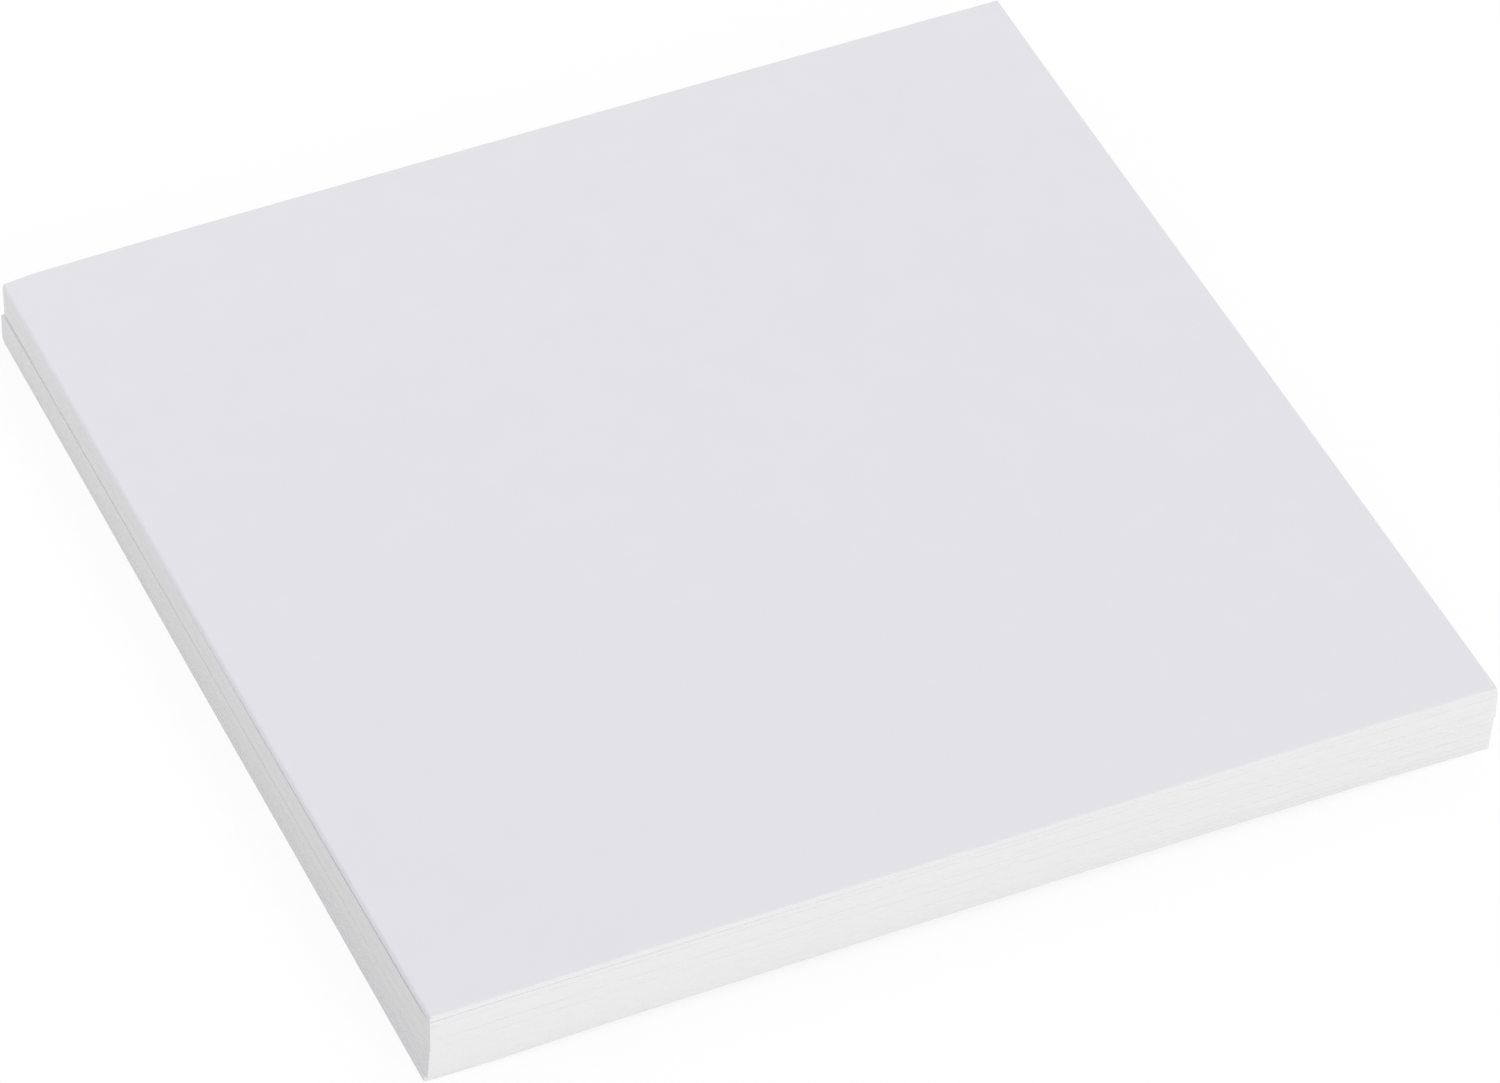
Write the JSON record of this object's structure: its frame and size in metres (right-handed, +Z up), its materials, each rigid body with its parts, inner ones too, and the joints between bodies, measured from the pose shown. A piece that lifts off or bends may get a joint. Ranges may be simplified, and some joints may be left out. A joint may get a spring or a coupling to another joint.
{
  "type": "stack of art paper tiles",
  "caption": "Squared-up loose stack of blank white art paper tiles: thick square sheets with sharp cut edges, for drawing, painting and small prints.",
  "frame": {"origin": "on the table, below the middle of the stack's footprint", "axes": "+Z up through the tiles, +X to the right and +Y to the back, along the tiles' edges"},
  "size_m": [0.1021, 0.1019, 0.008],
  "materials": {
    "art_paper": "matt, smooth, uncoated"
  },
  "bodies": {
    "root": {"tile_01": "art_paper", "tile_02": "art_paper", "tile_03": "art_paper", "tile_04": "art_paper", "tile_05": "art_paper", "tile_06": "art_paper", "tile_07": "art_paper", "tile_08": "art_paper", "tile_09": "art_paper", "tile_10": "art_paper", "tile_11": "art_paper", "tile_12": "art_paper", "tile_13": "art_paper", "tile_14": "art_paper"}
  },
  "joints": []
}
